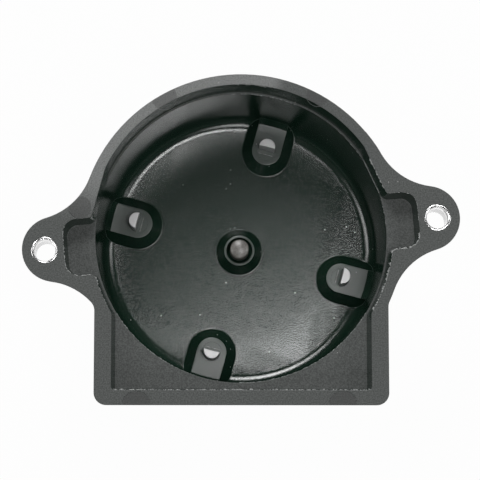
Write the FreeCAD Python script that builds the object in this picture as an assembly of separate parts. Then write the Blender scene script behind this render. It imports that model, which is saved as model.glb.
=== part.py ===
"""Distributor cap for a four-cylinder engine, drawn mouth up and standing on its lead towers.

The origin is the middle of the two ear screws, in the plane of the rim, and on the bore's axis.
+Z points out of the mouth, +X runs along the straight edge of the skirt and +Y away from it.
All sizes are in millimetres and degrees.
"""
import math
import os

import FreeCAD
import Part

V = FreeCAD.Vector

# Ear screws and their sleeves
screw_pitch = 95.0
ear_turn = 4.9
screw_bore = 5.3
sleeve_wall = 0.55
sleeve_chamfer = 0.25
ear_tip_radius = 7.9
ear_tip_setback = 2.5
ear_root_radius = 16.0

# Round chamber
bore_radius = 35.5
floor_depth = 36.5
floor_thickness = 3.5
chamber_wall = 2.6
wall_draft = 1.5
floor_fillet = 3.0
fillet_flats = 3
dome_edge_chamfer = 2.5

# Rim, its counterbore and the pockets in it
flange_draft = 5.0
counterbore_step = 1.1
rim_wall = 2.5
pocket_depth = 6.2
pocket_floor_thickness = 3.3
pocket_draft = 6.5
root_land = 0.3
root_land_angle = 31.5
root_land_corner = 4.0
notch_end_wall = 1.4
notch_half_width = 6.9
notch_corner = 3.5
notch_flare = 1.2

# Skirt on the straight side
skirt_width = 70.5
skirt_reach = 41.2
skirt_corner = 3.0
skirt_blend = 3.0
skirt_side_wall = 4.1
skirt_end_wall = 3.6
skirt_pocket_corner = 0.9

# Terminals
terminal_count = 4
terminal_angle = 74.9
terminal_pitch_radius = 27.0
electrode_radius = 2.05
electrode_height = 5.9
electrode_cut = 1.0
rod_below_floor = 6.75
cup_wall = 0.8
cup_length = 9.0
cup_depth = 7.5

# Pedestals that carry the electrodes
pedestal_height = 3.4
pedestal_half_width = 3.75
pedestal_flank_run = 2.5
pedestal_end_chamfer = 1.4

# Centre boss, carbon brush and its spring
boss_height = 3.8
boss_top_radius = 4.0
boss_foot_radius = 5.9
boss_lip_chamfer = 0.15
lead_in_radius = 3.3
lead_in_depth = 2.2
brush_radius = 2.35
brush_clearance = 0.05
brush_stand_out = 4.0
brush_length = 10.0
brush_tip_chamfer = 0.7
brush_tail_radius = 1.4
brush_travel = 3.0
tail_stop_gap = 0.3
spring_length = 5.0
spring_wire = 0.5
spring_turns = 2.0
spring_wall_gap = 0.1
centre_cup_end = 2.0

# Lead towers
tower_radius = 7.5
tower_length = 22.5
socket_radius = 4.5
web_thickness = 2.4
web_height = 7.0

# Overlap between solids that are fused, reach of cutters past a face, and what counts as touching
bite = 1.0
join_tolerance = 0.001

# How far the pedestals and the boss run into the wall and the floor
wall_hold = chamber_wall / 3
floor_hold = floor_thickness / 3

# Sizes that follow
rim_radius = bore_radius + counterbore_step + rim_wall
counterbore_radius = bore_radius + counterbore_step
sleeve_radius = screw_bore / 2 + sleeve_wall
flange_depth = pocket_depth + pocket_floor_thickness
flange_inset = flange_depth * math.tan(math.radians(flange_draft))
pocket_inset = pocket_depth * math.tan(math.radians(pocket_draft))
dome_radius = bore_radius + chamber_wall
floor_z = -floor_depth
pocket_z = -pocket_depth
dome_end_z = floor_z - floor_thickness
tower_end_z = dome_end_z - tower_length
pedestal_z = floor_z + pedestal_height
electrode_z = pedestal_z + electrode_height
cup_z = floor_z - rod_below_floor
brush_tip_z = floor_z + boss_height + brush_stand_out
brush_shoulder_z = brush_tip_z - brush_length
spring_seat_z = brush_shoulder_z - spring_length
brush_tail_length = spring_length - brush_travel - tail_stop_gap
brush_bore_radius = brush_radius + brush_clearance
tip_distance = screw_pitch / 2 - ear_tip_setback
ORIGIN = V(0, 0, 0)


def polar(radius, angle):
    """Point at this radius and angle about the origin."""
    turn = math.radians(angle)
    return V(radius * math.cos(turn), radius * math.sin(turn), 0)


def ear_point(side, along, across):
    """Point in an ear's own axes: along it from the origin, and across it counterclockwise."""
    turn = ear_turn if side == "right" else ear_turn + 180
    return polar(along, turn) + polar(across, turn + 90)


def touching(centre_a, reach_a, centre_b, reach_b, side):
    """Point at given distances from two centres, left (1) or right (-1) of the line a to b."""
    line = centre_b - centre_a
    gap = line.Length
    along = (gap ** 2 + reach_a ** 2 - reach_b ** 2) / (2 * gap)
    off = math.sqrt(max(reach_a ** 2 - along ** 2, 0))
    unit = line / gap
    return centre_a + unit * along + V(-unit.y, unit.x, 0) * off * side


def at_x(centre, reach, x, side):
    """Point at this x and this distance from a centre, above (1) or below (-1) it."""
    return V(x, centre.y + side * math.sqrt(max(reach ** 2 - (x - centre.x) ** 2, 0)), 0)


def at_ear_line(side, across, x):
    """Point at this x on the line that runs along an ear at this distance across it."""
    turn = math.radians(ear_turn if side == "right" else ear_turn + 180)
    along = (x + across * math.sin(turn)) / math.cos(turn)
    return ear_point(side, along, across)


def further_round(point, limit):
    """Whether a point below the ears lies further round the cap from its ear than another."""
    return point.y / point.Length < limit.y / limit.Length


def belt_normal(first, second):
    """Outward normal of the line, or of the touching point, that joins two circles of a belt."""
    line = second[0] - first[0]
    ratio = (first[1] - second[1]) / line.Length
    tilt = math.acos(max(-1, min(1, ratio)))
    turn = math.atan2(line.y, line.x) - tilt
    return V(math.cos(turn), math.sin(turn), 0)


def arc(centre, radius, start, end):
    """Arc about a centre from one point to another, counterclockwise where radius is positive."""
    first = math.atan2(start.y - centre.y, start.x - centre.x)
    sweep = math.atan2(end.y - centre.y, end.x - centre.x) - first
    turn = sweep % (2 * math.pi) if radius > 0 else -(-sweep % (2 * math.pi))
    middle = centre + V(math.cos(first + turn / 2), math.sin(first + turn / 2), 0) * abs(radius)
    return Part.Arc(start, middle, end).toShape()


def belt(circles, inset, z):
    """Closed outline around circles taken counterclockwise; a negative radius makes a hollow bend.

    The inset moves every side towards the material, as a mould's draft does.
    """
    rounds = [(centre, radius - inset) for centre, radius in circles]
    exits = []
    entries = []
    for here, after in zip(rounds, rounds[1:] + rounds[:1]):
        normal = belt_normal(here, after)
        exits.append(here[0] + normal * here[1])
        entry = after[0] + normal * after[1]
        entries.append(exits[-1] if entry.distanceToPoint(exits[-1]) < join_tolerance else entry)
    edges = []
    for index, (centre, radius) in enumerate(rounds):
        edges.append(arc(centre, radius, entries[index - 1], exits[index]))
        if entries[index] is not exits[index]:
            edges.append(Part.makeLine(exits[index], entries[index]))
    wire = Part.Wire(edges)
    wire.translate(V(0, 0, z))
    return wire


def drafted(circles, top_z, low_z, top_inset, low_inset):
    """Solid between two outlines of the same belt at two heights."""
    wires = [belt(circles, top_inset, top_z), belt(circles, low_inset, low_z)]
    return Part.makeLoft(wires, True, True)


def turned(profile, centre=ORIGIN):
    """Solid of revolution about the vertical line through centre, from (radius, z) points."""
    points = [V(radius, 0, z) for radius, z in profile]
    face = Part.Face(Part.makePolygon(points + points[:1]))
    solid = face.revolve(ORIGIN, V(0, 0, 1), 360)
    solid.translate(V(centre.x, centre.y, 0))
    return solid


def wall_radius(z):
    """Radius of the drafted chamber wall at a height below the pocket floors."""
    return bore_radius - (pocket_z - z) * math.tan(math.radians(wall_draft))


def skirt_bend(side, root):
    """Rim circles from the skirt's side to an ear's root: past the round, or straight into the root."""
    x = (skirt_width / 2 + skirt_blend) * (1 if side == "right" else -1)
    on_round = at_x(ORIGIN, rim_radius + skirt_blend, x, -1)
    if further_round(on_round, root):
        return [(on_round, -skirt_blend), (ORIGIN, rim_radius)]
    return [(at_x(root, ear_root_radius - skirt_blend, x, 1), -skirt_blend)]


def rim_circles():
    """Belt of the rim's outer edge: round, two ears and the skirt."""
    tips = {side: ear_point(side, tip_distance, 0) for side in ("right", "left")}
    from_axis = rim_radius + ear_root_radius
    from_tip = ear_tip_radius + ear_root_radius
    above = {"right": 1, "left": -1}
    upper = {s: touching(ORIGIN, from_axis, tips[s], from_tip, above[s]) for s in tips}
    lower = {s: touching(ORIGIN, from_axis, tips[s], from_tip, -above[s]) for s in tips}
    corner = V(skirt_width / 2 - skirt_corner, skirt_corner - skirt_reach, 0)
    return [
        (tips["right"], ear_tip_radius),
        (upper["right"], -ear_root_radius),
        (ORIGIN, rim_radius),
        (upper["left"], -ear_root_radius),
        (tips["left"], ear_tip_radius),
        (lower["left"], -ear_root_radius),
        *reversed(skirt_bend("left", lower["left"])),
        (V(-corner.x, corner.y, 0), skirt_corner),
        (corner, skirt_corner),
        *skirt_bend("right", lower["right"]),
        (lower["right"], -ear_root_radius),
    ]


def notch_flares(side):
    """Centres of the two flares where an ear's notch meets the counterbore, keyed by their side."""
    across = notch_half_width + notch_flare
    land_up = counterbore_radius - root_land + notch_flare
    land_low = counterbore_radius + notch_flare
    reach = {1: land_up, -1: land_low} if side == "right" else {1: land_low, -1: land_up}
    return {s: ear_point(side, math.sqrt(reach[s] ** 2 - across ** 2), s * across) for s in reach}


def notch_circles(side):
    """Belt around the end of one ear's notch."""
    end = screw_pitch / 2 - sleeve_radius - notch_end_wall
    corner = (end - notch_corner, notch_half_width - notch_corner)
    return [(ear_point(side, corner[0], s * corner[1]), notch_corner) for s in (-1, 1)]


def skirt_flare(side):
    """Pocket circles from the skirt's pocket to an ear's notch: past the counterbore, or straight."""
    sign = 1 if side == "right" else -1
    bend = skirt_pocket_corner
    x = (skirt_width / 2 - skirt_side_wall + bend) * sign
    on_round = at_x(ORIGIN, counterbore_radius + bend, x, -1)
    flare = notch_flares(side)[-sign]
    if further_round(on_round, flare):
        return [(on_round, -bend), (ORIGIN, counterbore_radius), (flare, -notch_flare)]
    return [(at_ear_line(side, -sign * (notch_half_width + bend), x), -bend)]


def pocket_circles():
    """Belt of the counterbore with its ear notches and the skirt's pocket, at the rim."""
    land_middle = counterbore_radius - root_land_corner
    half = skirt_width / 2 - skirt_side_wall
    corner = V(half - skirt_pocket_corner, skirt_end_wall + skirt_pocket_corner - skirt_reach, 0)
    return [
        *notch_circles("right"),
        (notch_flares("right")[1], -notch_flare),
        (polar(land_middle, ear_turn + root_land_angle), root_land_corner),
        (ORIGIN, counterbore_radius),
        (polar(land_middle, ear_turn + 180 - root_land_angle), root_land_corner),
        (notch_flares("left")[-1], -notch_flare),
        *notch_circles("left"),
        *reversed(skirt_flare("left")),
        (V(-corner.x, corner.y, 0), skirt_pocket_corner),
        (corner, skirt_pocket_corner),
        *skirt_flare("right"),
    ]


def chamber():
    """Hollow of the cap: drafted wall, chamfered upper edge and filleted floor."""
    slope = math.radians(wall_draft)
    middle_z = floor_z + floor_fillet
    middle_r = wall_radius(middle_z) - floor_fillet / math.cos(slope)
    turns = [-slope - (math.pi / 2 - slope) * step / fillet_flats for step in range(fillet_flats + 1)]
    corner = [(middle_r + floor_fillet * math.cos(t), middle_z + floor_fillet * math.sin(t)) for t in turns]
    return turned([
        (0, pocket_z + bite),
        (bore_radius, pocket_z + bite),
        (bore_radius, pocket_z),
        *corner,
        (0, floor_z),
    ])


def dome():
    """Outside of the chamber below the flange, with a chamfered closed end."""
    start_z = pocket_z - bite
    return turned([
        (0, start_z),
        (dome_radius, start_z),
        (dome_radius, dome_end_z + dome_edge_chamfer),
        (dome_radius - dome_edge_chamfer, dome_end_z),
        (0, dome_end_z),
    ])


def tower(centre):
    """Lead tower."""
    length = tower_length + bite
    return Part.makeCylinder(tower_radius, length, V(centre.x, centre.y, tower_end_z))


def socket(centre, cup_end_z):
    """Hollow of a lead tower, from its mouth to the end of the metal cup."""
    length = cup_end_z - tower_end_z + bite
    return Part.makeCylinder(socket_radius, length, V(centre.x, centre.y, tower_end_z - bite))


def web(angle):
    """Web between the centre tower and an outer one."""
    plate = Part.makeBox(terminal_pitch_radius, web_thickness, web_height + bite)
    plate.translate(V(0, -web_thickness / 2, dome_end_z - web_height))
    plate.rotate(ORIGIN, V(0, 0, 1), angle)
    return plate


def pedestal(angle):
    """Raised U that carries an electrode and runs out into the chamber wall."""
    end = bore_radius + wall_hold
    slope = pedestal_flank_run / pedestal_height
    low_z = floor_z - floor_hold

    def outline(z):
        half = pedestal_half_width + (pedestal_z - z) * slope
        left = V(terminal_pitch_radius, half, z)
        right = V(terminal_pitch_radius, -half, z)
        nose = V(terminal_pitch_radius - half, 0, z)
        far_left = V(end, half, z)
        far_right = V(end, -half, z)
        return Part.Wire([
            Part.Arc(left, nose, right).toShape(),
            Part.makeLine(right, far_right),
            Part.makeLine(far_right, far_left),
            Part.makeLine(far_left, left),
        ])

    solid = Part.makeLoft([outline(low_z), outline(pedestal_z)], True, True)
    solid.rotate(ORIGIN, V(0, 0, 1), angle)
    return solid


def pedestal_end(angle):
    """Chamfer between a pedestal's top and the chamber wall."""
    outer = bore_radius + wall_hold
    end_z = pedestal_z + pedestal_end_chamfer
    wedge = turned([
        (wall_radius(pedestal_z) - pedestal_end_chamfer, pedestal_z),
        (wall_radius(end_z), end_z),
        (outer, end_z),
        (outer, pedestal_z - bite),
        (wall_radius(pedestal_z) - pedestal_end_chamfer, pedestal_z - bite),
    ])
    slab = Part.makeBox(outer, 2 * pedestal_half_width, pedestal_end_chamfer + bite)
    slab.translate(V(0, -pedestal_half_width, pedestal_z - bite))
    slab.rotate(ORIGIN, V(0, 0, 1), angle)
    return wedge.common(slab)


def boss():
    """Centre boss with a chamfered lip."""
    top_z = floor_z + boss_height
    return turned([
        (0, floor_z - floor_hold),
        (boss_foot_radius, floor_z - floor_hold),
        (boss_foot_radius, floor_z),
        (boss_top_radius, top_z - boss_lip_chamfer),
        (boss_top_radius - boss_lip_chamfer, top_z),
        (0, top_z),
    ])


def brush_bore():
    """Bore of the carbon brush with its wide lead-in."""
    top_z = floor_z + boss_height
    return turned([
        (0, top_z + bite),
        (lead_in_radius, top_z + bite),
        (lead_in_radius, top_z - lead_in_depth + (lead_in_radius - brush_bore_radius)),
        (brush_bore_radius, top_z - lead_in_depth),
        (brush_bore_radius, spring_seat_z),
        (0, spring_seat_z),
    ])


def terminal_angles():
    """Directions of the outer terminals."""
    return [terminal_angle + 360 / terminal_count * index for index in range(terminal_count)]


def cup_end():
    """Height of the open end of an outer terminal's cup."""
    return cup_z - cup_length


def terminal_blank(centre):
    """Outer terminal before its electrode is cut back: rod and cup."""
    return turned([
        (0, electrode_z),
        (electrode_radius, electrode_z),
        (electrode_radius, cup_z),
        (socket_radius, cup_z),
        (socket_radius, cup_end()),
        (0, cup_end()),
    ], centre)


def cup_bore(centre, end_z, depth):
    """Bore of a terminal's cup."""
    radius = socket_radius - cup_wall
    return Part.makeCylinder(radius, depth + bite, V(centre.x, centre.y, end_z - bite))


def gauge():
    """Space that the electrodes are cut back to, down to a little way inside their pedestals."""
    height = electrode_height + electrode_cut + bite
    return Part.makeCylinder(terminal_pitch_radius, height, V(0, 0, pedestal_z - electrode_cut))


def outer_terminal_solid(angle):
    """Outer terminal as it sits in the moulding, without its cup's bore."""
    return terminal_blank(polar(terminal_pitch_radius, angle)).cut(gauge())


def outer_terminal(angle):
    """Outer terminal: cut-back electrode in the chamber, cup in the lead tower."""
    centre = polar(terminal_pitch_radius, angle)
    return outer_terminal_solid(angle).cut(cup_bore(centre, cup_end(), cup_depth))


def centre_terminal_solid():
    """Centre terminal without its bore: a cup whose closed end carries the spring."""
    return Part.makeCylinder(socket_radius, spring_seat_z - cup_end(), V(0, 0, cup_end()))


def centre_terminal():
    """Centre terminal with the bore of its cup."""
    depth = spring_seat_z - centre_cup_end - cup_end()
    return centre_terminal_solid().cut(cup_bore(ORIGIN, cup_end(), depth))


def sleeve(side):
    """Metal sleeve that takes the clamping load of an ear screw."""
    low_z = -flange_depth
    inner = screw_bore / 2
    return turned([
        (inner, -sleeve_chamfer),
        (inner + sleeve_chamfer, 0),
        (sleeve_radius, 0),
        (sleeve_radius, low_z),
        (inner, low_z),
    ], ear_point(side, screw_pitch / 2, 0))


def sleeve_hole(side):
    """Hole of a sleeve through its ear."""
    height = flange_depth + 2 * bite
    base = ear_point(side, screw_pitch / 2, 0) + V(0, 0, bite - height)
    return Part.makeCylinder(sleeve_radius, height, base)


def cap_body():
    """Moulded body: flange, dome, towers and webs, hollowed and fitted with its seats."""
    angles = terminal_angles()
    centres = [ORIGIN] + [polar(terminal_pitch_radius, angle) for angle in angles]
    flange = drafted(rim_circles(), 0, -flange_depth, 0, flange_inset)
    outside = [dome()] + [tower(centre) for centre in centres] + [web(angle) for angle in angles]
    shell = flange.fuse(outside)
    rise = bite * math.tan(math.radians(pocket_draft))
    pocket = drafted(pocket_circles(), bite, pocket_z, -rise, pocket_inset)
    shell = shell.cut([pocket, chamber()])
    raised = [boss()] + [pedestal(angle) for angle in angles] + [pedestal_end(angle) for angle in angles]
    shell = shell.fuse(raised)
    seats = [outer_terminal_solid(angle) for angle in angles] + [centre_terminal_solid()]
    seats += [socket(centre, cup_end()) for centre in centres]
    seats += [brush_bore()]
    seats += [sleeve_hole("right"), sleeve_hole("left")]
    return shell.cut(seats).removeSplitter()


def centre_brush():
    """Carbon brush with a chamfered tip and a tail inside the spring."""
    tail_z = brush_shoulder_z - brush_tail_length
    return turned([
        (0, brush_tip_z),
        (brush_radius - brush_tip_chamfer, brush_tip_z),
        (brush_radius, brush_tip_z - brush_tip_chamfer),
        (brush_radius, brush_shoulder_z),
        (brush_tail_radius, brush_shoulder_z),
        (brush_tail_radius, tail_z),
        (0, tail_z),
    ])


def brush_spring():
    """Coil spring of square wire between the centre terminal and the brush."""
    half = spring_wire / 2
    coil_radius = brush_bore_radius - spring_wall_gap - half
    rise = spring_length - spring_wire
    path = Part.makeHelix(rise / spring_turns, rise, coil_radius)
    corners = [(-half, -half), (half, -half), (half, half), (-half, half), (-half, -half)]
    section = Part.makePolygon([V(coil_radius + x, 0, z) for x, z in corners])
    coil = Part.Wire(path).makePipeShell([section], True, True)
    coil.translate(V(0, 0, spring_seat_z + half))
    return coil


def write(name, shape):
    """Save one piece."""
    solid = shape.Solids[0] if len(shape.Solids) == 1 else shape
    solid.exportStep(f"parts/{name}.step")


os.makedirs("parts", exist_ok=True)
write("cap_body", cap_body())
write("screw_sleeve_right", sleeve("right"))
write("screw_sleeve_left", sleeve("left"))
for number, direction in enumerate(terminal_angles(), start=1):
    write(f"lead_terminal_{number}", outer_terminal(direction))
write("centre_terminal", centre_terminal())
write("centre_brush", centre_brush())
write("brush_spring", brush_spring())
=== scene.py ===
"""Looks of the distributor cap: finishes, mould marks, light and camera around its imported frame.

Lengths are metres in the frame of the CAD part. The mouth looks up +Z and the rim lies at z = 0.
"""
import functools
import math

import bmesh
import bpy
import numpy as np
from mathutils import Matrix, Quaternion, Vector


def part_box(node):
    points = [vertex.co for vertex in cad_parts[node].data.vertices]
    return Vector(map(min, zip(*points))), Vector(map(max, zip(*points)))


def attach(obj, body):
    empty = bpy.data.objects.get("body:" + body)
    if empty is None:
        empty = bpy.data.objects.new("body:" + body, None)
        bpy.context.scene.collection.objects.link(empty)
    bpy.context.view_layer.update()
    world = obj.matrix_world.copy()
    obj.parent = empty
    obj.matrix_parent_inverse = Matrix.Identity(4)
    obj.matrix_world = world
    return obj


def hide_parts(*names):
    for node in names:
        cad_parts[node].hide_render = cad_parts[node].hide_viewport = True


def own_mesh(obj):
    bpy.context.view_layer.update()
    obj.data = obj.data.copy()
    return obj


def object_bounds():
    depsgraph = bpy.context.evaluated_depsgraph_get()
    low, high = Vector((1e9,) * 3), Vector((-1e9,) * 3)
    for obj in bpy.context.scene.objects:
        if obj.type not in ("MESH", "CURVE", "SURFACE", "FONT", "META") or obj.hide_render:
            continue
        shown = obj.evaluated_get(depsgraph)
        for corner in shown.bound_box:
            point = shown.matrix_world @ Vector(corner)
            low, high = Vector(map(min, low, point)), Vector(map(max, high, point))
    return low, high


MM = 0.001

# Heights of the main faces
rim_z = 0.0
pocket_z = -6.2 * MM
pedestal_z = -33.1 * MM

# Sizes that the added pieces follow
sleeve_bore = 2.65 * MM
sleeve_outside = 3.2 * MM
sleeve_chamfer = 0.27 * MM
sleeve_edge_round = 0.05 * MM
sleeve_low_z = -9.5 * MM
brush_radius = 2.35 * MM
brush_crown = 0.55 * MM
brush_shown = 10.0 * MM
edge_round = 0.25 * MM
body_edge_round = 0.4 * MM
sharp_angle = 34
turned_steps = 128
floor_half = 10.0

# Gentle fall of the chamber's floor between two distances from its middle
crown_start = 20.0 * MM
crown_end = 31.6 * MM
crown_slope = 0.03

# Finish of the moulding: roughness of its faces, height of its grain, and that grain's share where it shines
gloss_roughness = 0.13
pedestal_roughness = 0.3
matte_roughness = 0.75
grain_height = 0.06 * MM
gloss_grain = 0.6

# Middles that torn edges lean towards, in millimetres
chamber_middle = (0.0, 0.0, 0.0)
right_notch_middle = (38.0, 3.3, 0.0)
left_notch_middle = (-38.0, -3.3, 0.0)

# Torn edges that the mould left: how far each reaches, the middle that it leans towards, and its rough
# route over the edge that carries it, in millimetres
rim_flash = {
    "flash_chamber_right": (0.25, chamber_middle, ((29.9, 24.9), (32.1, 20.0), (33.7, 15.1), (34.7, 11.2))),
    "flash_notch_right_upper": (
        0.12, right_notch_middle, ((34.7, 10.7), (38.3, 9.8), (40.7, 8.3), (42.1, 5.9), (42.6, 2.9)),
    ),
    "flash_notch_right_lower": (
        0.5, right_notch_middle, ((42.8, 0.8), (41.5, -1.7), (38.4, -3.1), (36.2, -3.9), (35.5, -5.6)),
    ),
    "flash_below_notch_right": (
        0.45, chamber_middle, ((35.5, -5.6), (34.7, -9.2), (33.2, -14.8), (31.3, -18.9)),
    ),
    "flash_notch_left": (
        0.22, left_notch_middle,
        ((-42.9, 2.0), (-42.9, -1.6), (-42.6, -6.9), (-41.1, -9.4), (-39.2, -10.3), (-35.6, -10.3)),
    ),
    "flash_below_notch_left": (0.3, chamber_middle, ((-35.6, -10.3), (-33.9, -13.7), (-31.5, -17.3))),
    "flash_skirt": (0.28, chamber_middle, ((-31.2, -37.6), (31.2, -37.6))),
}
rough_edge = {
    "rough_edge_top": (0.3, chamber_middle, ((-1.8, 36.9), (1.6, 36.9), (5.2, 36.2), (8.6, 35.5))),
}
bore_flash = {
    "flash_bore_right": (
        0.12, chamber_middle,
        ((-2.7, 35.3), (9.6, 34.2), (18.9, 31.2), (25.5, 25.0), (31.3, 16.9), (34.2, 11.2), (35.6, 2.8)),
    ),
    "flash_bore_low_left": (
        0.12, chamber_middle, ((-31.0, -18.0), (-25.0, -25.3), (-17.0, -31.3), (-11.0, -33.8)),
    ),
    "flash_bore_low_right": (
        0.12, chamber_middle, ((-1.0, -35.4), (9.0, -34.3), (18.0, -30.6), (25.0, -25.2), (31.0, -18.0)),
    ),
}
flash_thickness = 0.12 * MM
flash_spacing = 0.16 * MM
flash_root = 0.05 * MM
flash_mean = 0.45
flash_spread = 0.6
flash_limit = 1.3
flash_taper_points = 4

# Marks of the ejector pins on the rim: centre and radius in millimetres, arc that shows in degrees
pin_marks = (
    (-18.8, 33.4, 3.2, -115, 5),
    (-25.1, -41.2, 3.4, 12, 168),
    (24.2, -41.1, 3.4, 12, 168),
    (18.5, 34.0, 2.8, 200, 290),
    (-38.9, 6.4, 2.8, 185, 300),
)
pin_mark_height = 0.05 * MM
pin_mark_width = 0.25 * MM

# Part of the rim painted lighter as a sheen of light, as angles round the chamber in radians, with the angle
# over which each end fades
sheen_start = 1.27
sheen_start_fade = 0.12
sheen_end = 3.1
sheen_end_fade = 0.35

# Turning marks and burr on each pedestal
pedestal_pitch = 27.0 * MM
pedestal_angles = (74.9, 164.9, 254.9, 344.9)
nose_arc_radius = 2.6 * MM
nose_arc_start = 105
nose_arc_end = 255
nose_arc_height = 0.05 * MM
nose_arc_width = 0.12 * MM
burr_inset = 1.1 * MM
burr_half_length = 1.9 * MM
burr_points = 26
burr_height = 0.25 * MM
burr_width = 0.2 * MM
burr_seed = 40

# Camera of the photograph
camera_aim = Vector((-0.38, -1.53, 0.0)) * MM
camera_distance = 500.0 * MM
camera_tilt = 7.45
camera_turn = -97.5
focal_pixels = 2078.5
image_pixels = 480
sensor_width = 36.0

# Soft lamps: place, aim, size, level and turn in degrees, and the level of the light from all round
lamps = {
    "overhead": ((0.1, -0.08, 0.6), (0.1, -0.08, 0.0), (0.185, 0.1), 15.0, -45),
    "beyond": ((-0.046, 0.264, 0.297), (0, 0, 0), (0.15, 0.15), 10.0, 0),
    "front": ((0, -0.306, 0.257), (0, 0, 0), (0.15, 0.15), 3.5, 0),
    "left": ((-0.306, 0, 0.257), (0, 0, 0), (0.15, 0.15), 3.5, 0),
    "right": ((0.306, 0, 0.257), (0, 0, 0), (0.15, 0.15), 3.5, 0),
}
world_level = 0.05


def add(tree, kind, inputs=None, **settings):
    """Node of a kind with its settings; each input is a value or the socket that feeds it."""
    made = tree.nodes.new(kind)
    for name, value in settings.items():
        setattr(made, name, value)
    for key, value in (inputs or {}).items():
        if isinstance(value, bpy.types.NodeSocket):
            tree.links.new(value, made.inputs[key])
        else:
            made.inputs[key].default_value = value
    return made


def calc(tree, operation, *values):
    """Result of a Math node on values or sockets."""
    return add(tree, "ShaderNodeMath", dict(enumerate(values)), operation=operation).outputs[0]


def fade(tree, value, low, high, start=0.0, end=1.0):
    """Smooth step of a value between two limits."""
    inputs = {"Value": value, "From Min": low, "From Max": high, "To Min": start, "To Max": end}
    made = add(tree, "ShaderNodeMapRange", inputs, interpolation_type="SMOOTHSTEP")
    return made.outputs[0]


def mixed(tree, factor, first, second):
    """Colour between two colours or sockets; a Mix node takes them at 6 and 7, and puts out colour at 2."""
    made = add(tree, "ShaderNodeMix", data_type="RGBA")
    for socket, value in zip((made.inputs[0], made.inputs[6], made.inputs[7]), (factor, first, second)):
        if isinstance(value, bpy.types.NodeSocket):
            tree.links.new(value, socket)
        else:
            socket.default_value = value
    return made.outputs[2]


def cloud(tree, place, scale, detail=4.0, roughness=0.55):
    """Noise between 0 and 1 at a number of waves per metre."""
    inputs = {"Vector": place, "Scale": scale, "Detail": detail, "Roughness": roughness}
    return add(tree, "ShaderNodeTexNoise", inputs).outputs[0]


def grey(level, green=0.0):
    """Opaque colour of a linear level, with a slight green cast."""
    return (level * (1 - green), level * (1 + green * 0.35), level * (1 - green * 0.35), 1.0)


def make_group(name, inputs, outputs, build):
    """Shader node group with named sockets, filled by a build function."""
    group = bpy.data.node_groups.new(name, "ShaderNodeTree")
    for socket, (kind, value) in inputs.items():
        made = group.interface.new_socket(socket, in_out="INPUT", socket_type=kind)
        made.default_value = value
    for socket, kind in outputs.items():
        group.interface.new_socket(socket, in_out="OUTPUT", socket_type=kind)
    source = group.nodes.new("NodeGroupInput").outputs
    sink = group.nodes.new("NodeGroupOutput").inputs
    for socket, value in build(group, source).items():
        group.links.new(value, sink[socket])
    return group


def edges_group():
    """Rounded normals along every edge, and a mask of where they turn."""
    def build(tree, given):
        bevel = add(tree, "ShaderNodeBevel", {"Radius": given["Radius"]}, samples=8)
        flat = add(tree, "ShaderNodeNewGeometry").outputs["Normal"]
        match = add(tree, "ShaderNodeVectorMath", {0: bevel.outputs[0], 1: flat}, operation="DOT_PRODUCT")
        turned = calc(tree, "SUBTRACT", 1.0, match.outputs["Value"])
        return {"Normal": bevel.outputs[0], "Edge": fade(tree, turned, 0.02, 0.2)}

    inputs = {"Radius": ("NodeSocketFloat", edge_round)}
    outputs = {"Normal": "NodeSocketVector", "Edge": "NodeSocketFloat"}
    return make_group("rounded_edges", inputs, outputs, build)


def grain_group():
    """Fine sand-blasted grain and slow cloudiness, both between 0 and 1."""
    def build(tree, given):
        fine = cloud(tree, given["Place"], 3000.0, 3.0, 0.7)
        slow = cloud(tree, given["Place"], 160.0, 5.0, 0.6)
        return {"Fine": fine, "Slow": slow}

    inputs = {"Place": ("NodeSocketVector", (0.0, 0.0, 0.0))}
    return make_group("grain", inputs, {"Fine": "NodeSocketFloat", "Slow": "NodeSocketFloat"}, build)


def dust_group():
    """Sparse light specks: cells of a random pattern whose point lies near and whose draw is high."""
    def build(tree, given):
        cells = add(tree, "ShaderNodeTexVoronoi", {"Vector": given["Place"], "Scale": given["Scale"]})
        near = fade(tree, cells.outputs["Distance"], 0.16, 0.06)
        draw = add(tree, "ShaderNodeSeparateColor", {0: cells.outputs["Color"]}).outputs[0]
        chosen = calc(tree, "GREATER_THAN", draw, given["Spared"])
        return {"Dust": calc(tree, "MULTIPLY", near, chosen)}

    inputs = {
        "Place": ("NodeSocketVector", (0.0, 0.0, 0.0)),
        "Scale": ("NodeSocketFloat", 900.0),
        "Spared": ("NodeSocketFloat", 0.96),
    }
    return make_group("dust", inputs, {"Dust": "NodeSocketFloat"}, build)


def start_material(name):
    """Empty material with its shader, and the place that its patterns read."""
    made = bpy.data.materials.new(name)
    made.use_nodes = True
    tree = made.node_tree
    tree.nodes.clear()
    shader = add(tree, "ShaderNodeBsdfPrincipled")
    add(tree, "ShaderNodeOutputMaterial", {0: shader.outputs[0]})
    place = add(tree, "ShaderNodeTexCoord").outputs["Object"]
    return made, tree, shader, place


def placed(tree, group, **inputs):
    """Node group placed in a material with its own values."""
    made = add(tree, "ShaderNodeGroup", node_tree=group)
    for key, value in inputs.items():
        if isinstance(value, bpy.types.NodeSocket):
            tree.links.new(value, made.inputs[key])
        else:
            made.inputs[key].default_value = value
    return made.outputs


def feed(tree, shader, **inputs):
    """Values or sockets for the shader's inputs; words in a name are joined by underscores."""
    for key, value in inputs.items():
        socket = shader.inputs[key.replace("_", " ")]
        if isinstance(value, bpy.types.NodeSocket):
            tree.links.new(value, socket)
        else:
            socket.default_value = value


def product(tree, *masks):
    """Masks multiplied together."""
    return functools.reduce(lambda first, second: calc(tree, "MULTIPLY", first, second), masks)


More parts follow.
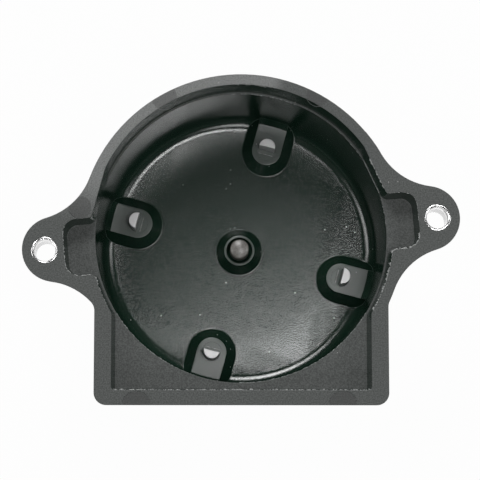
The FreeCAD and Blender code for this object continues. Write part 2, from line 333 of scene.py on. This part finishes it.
def painted_rim_sheen(tree, across, grain):
    """Mask of the rim's far left part, which is painted lighter than the rest as a sheen of light."""
    turn = calc(tree, "ARCTAN2", across[1], across[0])
    begun = fade(tree, turn, sheen_start, sheen_start + sheen_start_fade)
    left = fade(tree, turn, sheen_end, sheen_end - sheen_end_fade)
    on_rim = fade(tree, across[2], rim_z - 0.4 * MM, rim_z - 0.2 * MM)
    speckle = fade(tree, grain["Fine"], 0.2, 0.7, 0.2, 0.8)
    return product(tree, begun, left, on_rim, speckle)


def pin_disc_shade(tree, place):
    """Mask of the ejector pins' discs on the rim, where shade is painted as if in a shallow hollow."""
    masks = []
    for x, y, radius, *_ in pin_marks:
        ends = {0: place, 1: (x * MM, y * MM, rim_z)}
        apart = add(tree, "ShaderNodeVectorMath", ends, operation="DISTANCE").outputs["Value"]
        masks.append(fade(tree, apart, radius * MM, (radius - 0.2) * MM))
    return functools.reduce(lambda first, second: calc(tree, "MAXIMUM", first, second), masks)


def crowned_floor(tree, across, normal):
    """Normal of a floor that falls away from its middle.

    Past crown_start its slope grows evenly with the distance r from the axis, up to crown_slope at
    crown_end, so the height is -crown_slope (r - crown_start)^2 / (2 (crown_end - crown_start)).
    """
    squares = [calc(tree, "POWER", across[axis], 2) for axis in (0, 1)]
    from_axis = calc(tree, "SQRT", calc(tree, "ADD", *squares))
    held = calc(tree, "MINIMUM", calc(tree, "MAXIMUM", from_axis, crown_start), crown_end)
    past = calc(tree, "SUBTRACT", held, crown_start)
    steepening = crown_slope / (crown_end - crown_start)
    fall = calc(tree, "MULTIPLY", calc(tree, "POWER", past, 2), -0.5 * steepening)
    inputs = {"Strength": 1.0, "Distance": 1.0, "Height": fall, "Normal": normal}
    return add(tree, "ShaderNodeBump", inputs).outputs[0]


def facing_mouth(tree):
    """Mask of the faces that look out of the mouth."""
    normal = add(tree, "ShaderNodeNewGeometry").outputs["Normal"]
    upward = add(tree, "ShaderNodeSeparateXYZ", {0: normal}).outputs[2]
    return fade(tree, upward, 0.8, 0.95)


def matte_colour(tree, across, place, grain):
    """Speckled grey of the blasted faces, with a painted sheen of light at the rim's far left and painted
    shade in the pins' discs.
    """
    speckle = fade(tree, grain["Fine"], 0.35, 0.65)
    colour = mixed(tree, speckle, grey(0.025, 0.15), grey(0.085, 0.06))
    # Painted sheen: the rim's far left is painted lighter, as light glancing off it.
    colour = mixed(tree, painted_rim_sheen(tree, across, grain), colour, grey(0.24, 0.02))
    # Painted shade: the pins' discs are painted dark, as if shaded in a hollow.
    return mixed(tree, product(tree, pin_disc_shade(tree, place), 0.45), colour, grey(0.01))


def moulding_material(groups):
    """Dark moulding: glossy in the chamber, blasted and lighter on faces that look out of the mouth, with
    painted highlights along its edges.
    """
    made, tree, shader, place = start_material("dark_moulding")
    edges = placed(tree, groups["edges"], Radius=body_edge_round)
    grain = placed(tree, groups["grain"], Place=place)
    dust = placed(tree, groups["dust"], Place=place)
    across = add(tree, "ShaderNodeSeparateXYZ", {0: place}).outputs
    to_mouth = facing_mouth(tree)
    blasted = product(tree, to_mouth, fade(tree, across[2], pocket_z - 3 * MM, pocket_z - 2 * MM))
    on_pedestal = product(tree, to_mouth, fade(tree, across[2], pedestal_z - MM, pedestal_z - 0.5 * MM))
    gloss = mixed(tree, grain["Slow"], (0.006, 0.020, 0.012, 1.0), (0.012, 0.032, 0.021, 1.0))
    colour = mixed(tree, blasted, gloss, matte_colour(tree, across, place, grain))
    # Painted highlight: edges are painted lighter, as the light that rounded edges catch.
    colour = mixed(tree, product(tree, edges["Edge"], 0.35), colour, grey(0.16, 0.03))
    colour = mixed(tree, product(tree, dust["Dust"], 0.6), colour, grey(0.5))
    inner = add(tree, "ShaderNodeMix", {0: on_pedestal, 2: gloss_roughness, 3: pedestal_roughness})
    roughness = add(tree, "ShaderNodeMix", {0: blasted, 2: inner.outputs[0], 3: matte_roughness}).outputs[0]
    height = product(tree, grain["Fine"], fade(tree, blasted, 0.0, 1.0, gloss_grain, 1.0))
    crowned = crowned_floor(tree, across, edges["Normal"])
    inputs = {"Strength": 1.0, "Distance": grain_height, "Height": height, "Normal": crowned}
    bump = add(tree, "ShaderNodeBump", inputs).outputs[0]
    feed(tree, shader, Base_Color=colour, Roughness=roughness, Normal=bump, IOR=1.85)
    return made


def torn_material(groups):
    """Torn moulding: pale and dull where the surface broke."""
    made, tree, shader, place = start_material("torn_moulding")
    grain = placed(tree, groups["grain"], Place=place)
    base = mixed(tree, fade(tree, grain["Fine"], 0.35, 0.65), grey(0.12, 0.05), grey(0.5, 0.02))
    feed(tree, shader, Base_Color=base, Roughness=0.6)
    return made


def metal_material(name, groups, colour, worn, roughness):
    """Metal with cloudy oxide and edges painted brighter as highlights."""
    made, tree, shader, place = start_material(name)
    edges = placed(tree, groups["edges"], Radius=edge_round)
    grain = placed(tree, groups["grain"], Place=place)
    base = mixed(tree, grain["Slow"], colour, worn)
    # Painted highlight: edges are painted brighter, as the light that rounded edges catch.
    base = mixed(tree, calc(tree, "MULTIPLY", edges["Edge"], 0.5), base, grey(0.9))
    rough = fade(tree, grain["Slow"], 0.3, 0.7, roughness, roughness + 0.2)
    inputs = {"Strength": 0.3, "Distance": 0.03 * MM, "Height": grain["Fine"], "Normal": edges["Normal"]}
    bump = add(tree, "ShaderNodeBump", inputs).outputs[0]
    feed(tree, shader, Base_Color=base, Metallic=0.9, Roughness=rough, Normal=bump)
    return made


def sleeve_material(groups):
    """Bright plated metal, faintly cloudy."""
    made, tree, shader, place = start_material("zinc_plate")
    grain = placed(tree, groups["grain"], Place=place)
    base = mixed(tree, grain["Slow"], grey(0.86), grey(0.96))
    rough = fade(tree, grain["Slow"], 0.3, 0.7, 0.1, 0.2)
    feed(tree, shader, Base_Color=base, Metallic=0.9, Roughness=rough)
    return made


def carbon_material(groups):
    """Pressed carbon, pale grey where the crown is polished."""
    made, tree, shader, place = start_material("carbon")
    grain = placed(tree, groups["grain"], Place=place)
    speckle = fade(tree, grain["Fine"], 0.35, 0.65)
    base = mixed(tree, speckle, (0.1, 0.094, 0.085, 1.0), (0.18, 0.17, 0.155, 1.0))
    bump = add(tree, "ShaderNodeBump", {"Strength": 0.5, "Distance": 0.05 * MM, "Height": grain["Fine"]})
    feed(tree, shader, Base_Color=base, Roughness=0.36, Normal=bump.outputs[0], IOR=1.9)
    return made


def white_stage():
    """Pale floor that camera, mirrors and glass see as white, and that still takes a faint shadow."""
    made = bpy.data.materials.new("white_paper")
    made.use_nodes = True
    tree = made.node_tree
    tree.nodes.clear()
    light = add(tree, "ShaderNodeLightPath").outputs
    mirrored = calc(tree, "MAXIMUM", light["Is Glossy Ray"], light["Is Transmission Ray"])
    seen = calc(tree, "MAXIMUM", light["Is Camera Ray"], mirrored)
    paper = add(tree, "ShaderNodeBsdfDiffuse", {"Color": grey(0.8)}).outputs[0]
    white = add(tree, "ShaderNodeEmission", {"Color": grey(1.0), "Strength": 1.0}).outputs[0]
    mix = add(tree, "ShaderNodeMixShader", {0: product(tree, seen, 0.97), 1: paper, 2: white})
    add(tree, "ShaderNodeOutputMaterial", {0: mix.outputs[0]})
    return made


def as_object(name, mesh, material):
    """Object at the origin that shows a mesh in a material."""
    made = bpy.data.objects.new(name, mesh)
    bpy.context.scene.collection.objects.link(made)
    mesh.materials.clear()
    mesh.materials.append(material)
    return made


def merged_copy(name, node, material, join_flat=False):
    """Copy of a CAD node with shared corners, smooth but for edges over an angle."""
    model = bmesh.new()
    model.from_mesh(node.data)
    bmesh.ops.remove_doubles(model, verts=model.verts, dist=0.002 * MM)
    if join_flat:
        bmesh.ops.dissolve_limit(model, angle_limit=math.radians(1), verts=model.verts, edges=model.edges)
    for face in model.faces:
        face.smooth = True
    for edge in model.edges:
        edge.smooth = len(edge.link_faces) == 2 and edge.calc_face_angle() < math.radians(sharp_angle)
    mesh = bpy.data.meshes.new(name)
    model.to_mesh(mesh)
    model.free()
    if "custom_normal" in mesh.attributes:
        mesh.attributes.remove(mesh.attributes["custom_normal"])
    return as_object(name, mesh, material)


def sharp_edges(body, level):
    """Ends of a piece's sharp edges that lie at a height, as an (edges, 2, 2) array in the plane."""
    mesh = body.data
    places = np.empty(len(mesh.vertices) * 3)
    mesh.vertices.foreach_get("co", places)
    ends = np.empty(len(mesh.edges) * 2, dtype=int)
    mesh.edges.foreach_get("vertices", ends)
    sharp = np.empty(len(mesh.edges), dtype=bool)
    mesh.edges.foreach_get("use_edge_sharp", sharp)
    edges = places.reshape(-1, 3)[ends.reshape(-1, 2)]
    at_level = np.all(np.abs(edges[:, :, 2] - level) < 0.01 * MM, axis=1)
    return edges[sharp & at_level][:, :, :2]


def evenly_along(route, spacing):
    """Places at an even spacing along a route of points in the plane."""
    route = np.array(route)
    reached = np.concatenate([[0.0], np.cumsum(np.linalg.norm(np.diff(route, axis=0), axis=1))])
    wanted = np.linspace(0, reached[-1], int(reached[-1] / spacing) + 2)
    return np.stack([np.interp(wanted, reached, route[:, axis]) for axis in (0, 1)], axis=1)


def laid_on(edges, places):
    """Each place moved to the nearest point of the edges.

    For an edge from p to q that point is p + t (q - p), where t is the place's share along the edge,
    (place - p) . (q - p) / |q - p|^2, held between 0 and 1.
    """
    start, line = edges[:, 0], edges[:, 1] - edges[:, 0]
    share = ((places[:, None] - start) * line).sum(2) / (line ** 2).sum(1)
    nearest = start + np.clip(share, 0, 1)[:, :, None] * line
    chosen = np.linalg.norm(nearest - places[:, None], axis=2).argmin(1)
    laid = nearest[np.arange(len(places)), chosen]
    moved_on = np.linalg.norm(np.diff(laid, axis=0), axis=1) > 0.2 * flash_spacing
    return laid[np.concatenate([[True], moved_on])]


def headings(path):
    """Unit directions along a path, from each point's neighbours."""
    ahead = np.gradient(path, axis=0)
    return ahead / np.linalg.norm(ahead, axis=1)[:, None]


def torn_reach(count, reach, seed):
    """Seeded reach of a torn edge at each point.

    It is reach times smoothed noise, which is held between 0 and flash_limit and tapered at the ends.
    """
    draw = np.random.default_rng(seed).normal(flash_mean, flash_spread, count)
    smooth = np.convolve(draw, (0.25, 0.5, 0.25), mode="same")
    from_end = np.minimum(np.arange(count), np.arange(count)[::-1])
    taper = np.minimum(1, from_end / flash_taper_points)
    return reach * np.clip(smooth, 0, flash_limit) * taper


def ridge_mesh(name, path, out, reach, thickness):
    """Thin ridge: a four-sided profile carried along a path.

    With the path's direction d, the thin direction is w = d x out. At each point the root lies at
    path - flash_root out +- thickness/2 w, and the tip at path + reach out +- thickness/6 w.
    """
    ahead = headings(path)
    wide = np.cross(ahead, out)
    wide = wide / np.linalg.norm(wide, axis=1)[:, None]
    root = path - flash_root * out
    tip = path + reach[:, None] * out
    half = thickness / 2
    profile = [root - half * wide, tip - half / 3 * wide, tip + half / 3 * wide, root + half * wide]
    return grid_mesh(name, np.stack(profile, axis=1), close_u=True, capped=True)


def turned_mesh(name, profile, centre):
    """Surface of revolution: each (radius, z) point of a profile goes round a vertical line at centre.

    The point at turn u and place v is centre + (r(v) cos u, r(v) sin u, z(v)); the grid closes in u,
    and in v where the profile's last point meets its first.
    """
    profile = np.array(profile)
    turns = np.linspace(0, 2 * math.pi, turned_steps, endpoint=False)
    radius, height = profile[:, 0], profile[:, 1]
    grid = np.empty((len(profile), turned_steps, 3))
    grid[:, :, 0] = centre[0] + radius[:, None] * np.cos(turns)
    grid[:, :, 1] = centre[1] + radius[:, None] * np.sin(turns)
    grid[:, :, 2] = height[:, None]
    return grid_mesh(name, grid, close_u=True)


def grid_mesh(name, grid, close_u=False, capped=False):
    """Mesh of quads between neighbouring points of a (rows, columns, 3) grid.

    A grid closed in u is a tube, whose first and last rows can be capped. Points that meet become one.
    """
    rows, columns = grid.shape[:2]
    index = np.arange(rows * columns).reshape(rows, columns)
    caps = [index[0].tolist(), index[-1].tolist()] if capped else []
    if close_u:
        index = np.concatenate([index, index[:, :1]], axis=1)
    quads = np.stack([index[:-1, :-1], index[:-1, 1:], index[1:, 1:], index[1:, :-1]], axis=-1)
    mesh = bpy.data.meshes.new(name)
    mesh.from_pydata(grid.reshape(-1, 3).tolist(), [], quads.reshape(-1, 4).tolist() + caps)
    if close_u:
        model = bmesh.new()
        model.from_mesh(mesh)
        bmesh.ops.remove_doubles(model, verts=model.verts, dist=0.0001 * MM)
        bmesh.ops.recalc_face_normals(model, faces=model.faces)
        model.to_mesh(mesh)
        model.free()
    mesh.shade_smooth()
    return mesh


def round_camera():
    """Camera at the photograph's place, aimed with the frame's +Y up."""
    tilt, turn = math.radians(camera_tilt), math.radians(camera_turn)
    back = Vector((math.sin(tilt) * math.cos(turn), math.sin(tilt) * math.sin(turn), math.cos(tilt)))
    right = Vector((0, 1, 0)).cross(back).normalized()
    up = back.cross(right)
    data = bpy.data.cameras.new("camera")
    data.sensor_width = sensor_width
    data.lens = sensor_width * focal_pixels / image_pixels
    camera = bpy.data.objects.new("camera", data)
    place = camera_aim + back * camera_distance
    camera.matrix_world = Matrix((
        (right.x, up.x, back.x, place.x),
        (right.y, up.y, back.y, place.y),
        (right.z, up.z, back.z, place.z),
        (0, 0, 0, 1),
    ))
    bpy.context.scene.collection.objects.link(camera)
    bpy.context.scene.camera = camera


def softbox(name, place, aim, size, level, turn):
    """Rectangular lamp at a place, turned to an aim point and about its own axis.

    Its level is what a mirror would show: 1 is as bright as white paper. Its power follows from that.
    """
    data = bpy.data.lights.new(name, "AREA")
    data.shape = "RECTANGLE"
    data.size, data.size_y = size
    data.energy = level * math.pi * size[0] * size[1]
    lamp = bpy.data.objects.new(name, data)
    lamp.location = place
    facing = (Vector(aim) - Vector(place)).to_track_quat("-Z", "Y")
    lamp.visible_camera = False
    lamp.rotation_euler = (facing @ Quaternion((0, 0, 1), math.radians(turn))).to_euler()
    bpy.context.scene.collection.objects.link(lamp)


def world_light(level):
    """Even light from all round."""
    world = bpy.data.worlds.new("studio")
    bpy.context.scene.world = world
    world.use_nodes = True
    tree = world.node_tree
    tree.nodes.clear()
    background = add(tree, "ShaderNodeBackground", {"Color": grey(1.0), "Strength": level})
    add(tree, "ShaderNodeOutputWorld", {0: background.outputs[0]})


def floor_piece():
    """Plain floor that the towers stand on."""
    base_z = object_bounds()[0][2]
    sides = (-floor_half, floor_half)
    grid = np.array([[(x, y, base_z) for x in sides] for y in sides])
    floor = as_object("floor", grid_mesh("floor", grid), white_stage())


def dress_body(frame, material):
    """Merged copy of the moulded body, with its flats' share of the light set by their size."""
    body = merged_copy("moulded_body", frame["nodes"]["cap_body"], material)
    weigh = body.modifiers.new("even_shading", "WEIGHTED_NORMAL")
    weigh.keep_sharp = True
    weigh.weight = 60
    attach(body, "cap")
    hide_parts("cap_body")
    return body


def add_mark(name, mesh, material):
    """Small mark on the moulding, which rides with the cap."""
    piece = as_object(name, mesh, material)
    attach(piece, "cap")


def tear_edges(body, tears, level, material):
    """Torn flash that stands inwards from the body's edges at a height, along rough routes."""
    edges = sharp_edges(body, level)
    for seed, (name, (reach, middle, route)) in enumerate(tears.items()):
        flat = laid_on(edges, evenly_along(np.array(route) * MM, flash_spacing))
        path = np.column_stack([flat, np.full(len(flat), level - flash_thickness / 2)])
        out = np.cross(headings(path), (0, 0, 1))
        out = out * np.sign((out * (np.array(middle) * MM - path)).sum(1))[:, None]
        reaches = torn_reach(len(path), reach * MM, seed)
        add_mark(name, ridge_mesh(name, path, out, reaches, flash_thickness), material)


def arc_path(centre, radius, start, end, level):
    """Points along an arc in a plane: centre + radius (cos a, sin a), with a from start to end in degrees."""
    turns = np.radians(np.linspace(start, end, 40))
    x, y = centre[0] + radius * np.cos(turns), centre[1] + radius * np.sin(turns)
    return np.column_stack([x, y, np.full(len(turns), level)])


def standing_ridge(name, path, heights, thickness, material):
    """Low ridge that stands up from the face under its path."""
    up = np.tile((0.0, 0.0, 1.0), (len(path), 1))
    add_mark(name, ridge_mesh(name, path, up, heights, thickness), material)


def tapered(count, height):
    """Height of a low ridge that fades out at both ends: height sin(pi s)^0.5 over its length s."""
    return height * np.sqrt(np.sin(np.linspace(0, math.pi, count)))


def mark_pins(material):
    """Raised rings that the ejector pins left on the rim."""
    for number, (x, y, radius, start, end) in enumerate(pin_marks, 1):
        path = arc_path((x * MM, y * MM), radius * MM, start, end, rim_z)
        heights = tapered(len(path), pin_mark_height)
        standing_ridge(f"pin_mark_{number}", path, heights, pin_mark_width, material)


def mark_pedestals(moulding, torn):
    """Turning arc round each electrode, and the burr beside its flat."""
    for number, angle in enumerate(pedestal_angles, 1):
        turn = math.radians(angle)
        centre = (pedestal_pitch * math.cos(turn), pedestal_pitch * math.sin(turn))
        path = arc_path(centre, nose_arc_radius, angle + nose_arc_start, angle + nose_arc_end, pedestal_z)
        heights = tapered(len(path), nose_arc_height)
        standing_ridge(f"turning_arc_{number}", path, heights, nose_arc_width, moulding)
        inwards = np.array([-math.cos(turn), -math.sin(turn)])
        across = np.array([math.sin(turn), -math.cos(turn)])
        along = np.linspace(-burr_half_length, burr_half_length, burr_points)
        flat = np.array(centre) + burr_inset * inwards + along[:, None] * across
        path = np.column_stack([flat, np.full(len(flat), pedestal_z)])
        heights = torn_reach(len(path), burr_height, burr_seed + number)
        standing_ridge(f"burr_{number}", path, heights, burr_width, torn)


def dress_terminals(frame, material):
    """Terminals with softly rounded edges."""
    names = [name for name in frame["nodes"] if name.startswith("lead_terminal") or name == "centre_terminal"]
    for name in sorted(names):
        piece = merged_copy(name + "_finished", frame["nodes"][name], material, join_flat=True)
        bevel = piece.modifiers.new("rounded", "BEVEL")
        bevel.width = edge_round
        bevel.segments = 3
        bevel.angle_limit = math.radians(40)
        bevel.harden_normals = True
        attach(piece, "cap")
        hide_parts(name)


def dress_sleeves(frame, material):
    """Sleeves with a flat outer land, a chamfer and a plain bore."""
    land = sleeve_bore + sleeve_chamfer
    small = sleeve_edge_round
    profile = [
        (sleeve_bore, sleeve_low_z),
        (sleeve_bore, rim_z - sleeve_chamfer - small),
        (sleeve_bore + small, rim_z - sleeve_chamfer),
        (land - small, rim_z - small),
        (land, rim_z),
        (sleeve_outside - small, rim_z),
        (sleeve_outside, rim_z - small),
        (sleeve_outside, sleeve_low_z),
        (sleeve_bore, sleeve_low_z),
    ]
    for side in ("right", "left"):
        low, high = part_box("screw_sleeve_" + side)
        centre = (low + high) / 2
        mesh = turned_mesh("sleeve_" + side, profile, centre)
        piece = as_object("sleeve_" + side, mesh, material)
        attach(piece, "cap")
        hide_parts("screw_sleeve_" + side)


def dress_brush(frame, material):
    """Carbon brush with a low round crown."""
    tip_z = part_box("centre_brush")[1].z
    ball = (brush_radius ** 2 + brush_crown ** 2) / (2 * brush_crown)
    spread = np.linspace(0, math.asin(brush_radius / ball), 12)
    crown = [(ball * math.sin(a), tip_z - ball * (1 - math.cos(a))) for a in spread]
    foot = tip_z - brush_shown
    profile = [(0, foot), (brush_radius, foot), *reversed(crown)]
    mesh = turned_mesh("carbon_brush", profile, (0, 0))
    piece = as_object("carbon_brush", mesh, material)
    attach(piece, "brush")
    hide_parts("centre_brush")


def dress_spring(frame, material):
    """Spring as a merged copy with a mesh of its own, which rides with the cap."""
    piece = merged_copy("pressed_spring", frame["nodes"]["brush_spring"], material)
    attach(piece, "cap")
    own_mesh(piece)
    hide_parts("brush_spring")


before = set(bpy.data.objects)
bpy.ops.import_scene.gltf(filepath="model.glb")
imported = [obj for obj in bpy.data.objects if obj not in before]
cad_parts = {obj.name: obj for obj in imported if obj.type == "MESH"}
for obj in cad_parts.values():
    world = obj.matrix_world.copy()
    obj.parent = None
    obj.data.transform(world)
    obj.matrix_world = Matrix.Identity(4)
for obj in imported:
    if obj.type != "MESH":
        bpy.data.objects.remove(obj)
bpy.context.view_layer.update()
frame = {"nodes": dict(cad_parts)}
bpy.context.scene.view_settings.view_transform = "Standard"
round_camera()
world_light(world_level)
for name, settings in lamps.items():
    softbox(name, *settings)
floor_piece()
groups = {"edges": edges_group(), "grain": grain_group(), "dust": dust_group()}
alloy = metal_material("electrode_alloy", groups, grey(0.4), grey(0.7), 0.34)
zinc = sleeve_material(groups)
moulding = moulding_material(groups)
torn = torn_material(groups)
body = dress_body(frame, moulding)
tear_edges(body, rim_flash, rim_z, torn)
tear_edges(body, rough_edge, rim_z, moulding)
tear_edges(body, bore_flash, pocket_z, torn)
mark_pins(moulding)
mark_pedestals(moulding, torn)
dress_terminals(frame, alloy)
dress_sleeves(frame, zinc)
dress_brush(frame, carbon_material(groups))
dress_spring(frame, metal_material("spring_wire", groups, grey(0.4), grey(0.5), 0.3))
